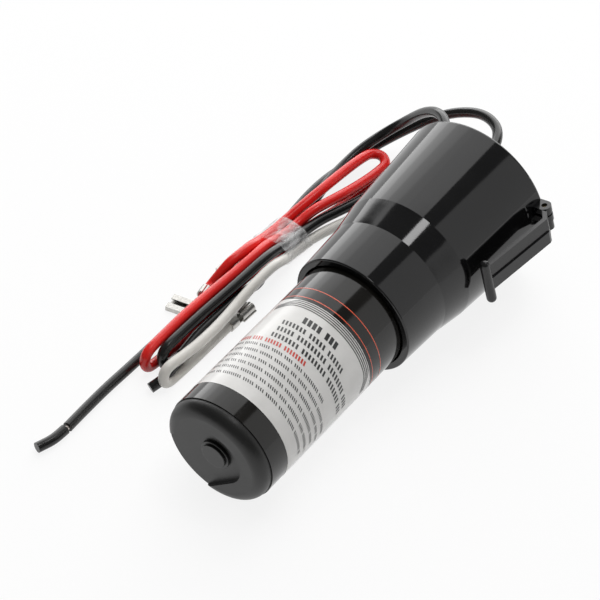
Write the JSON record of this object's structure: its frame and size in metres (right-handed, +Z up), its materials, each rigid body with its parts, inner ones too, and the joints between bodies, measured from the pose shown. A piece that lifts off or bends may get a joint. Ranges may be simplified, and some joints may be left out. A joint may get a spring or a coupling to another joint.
{
  "type": "compressor start relay",
  "caption": "Start relay and overload in a flared round housing pressed over a start capacitor, with a spring clip at its side and a tied hank of leads.",
  "frame": {"origin": "on the bench, below the middle of the rigid body's box", "axes": "+X level along the relay from the capacitor's foot towards the wire end, +Z up, +Y towards the hank of leads; the relay's own axis rises 3.29 degrees towards +X"},
  "size_m": [0.1856, 0.0965, 0.0527],
  "materials": {
    "can": "gloss",
    "plug": "satin",
    "sleeve": "gloss",
    "foil": "satin",
    "header": "matte",
    "tinned_brass": "satin",
    "housing": "gloss",
    "clip": "satin",
    "pin": "satin",
    "cover": "satin",
    "board": "matte",
    "device_case": "matte",
    "pill": "matte",
    "spring": "satin",
    "phenolic": "matte",
    "black_wire": "gloss",
    "red_wire": "gloss",
    "white_wire": "gloss",
    "copper": "satin",
    "tin": "satin",
    "tape": "gloss"
  },
  "bodies": {
    "root": {"capacitor_can": "can", "vent_plug": "plug", "label_sleeve": "sleeve", "capacitor_winding": "foil", "capacitor_header": "header", "capacitor_tab_start": "tinned_brass", "capacitor_tab_run": "tinned_brass", "relay_housing": "housing", "mounting_clip": "clip", "clip_pin": "pin", "end_cover": "cover", "wire_board": "board", "wire_eyelets": "tinned_brass", "ptc_case": "device_case", "ptc_lid": "device_case", "ptc_pill": "pill", "ptc_spring_start": "spring", "ptc_spring_run": "spring", "overload_case": "phenolic", "overload_stud_line": "tinned_brass", "overload_stud_common": "tinned_brass", "bimetal_disc": "spring", "overload_cover": "phenolic", "overload_screw": "tinned_brass", "line_lead_a": "black_wire", "line_lead_b": "black_wire", "red_lead": "red_wire", "black_lead": "black_wire", "white_lead": "white_wire", "line_slug_a": "black_wire", "line_slug_b": "black_wire", "line_core_a": "copper", "line_core_b": "copper", "red_flag_terminal": "tin", "white_flag_terminal": "tin", "black_flag_terminal": "tin", "hank_tape": "tape"}
  },
  "joints": []
}
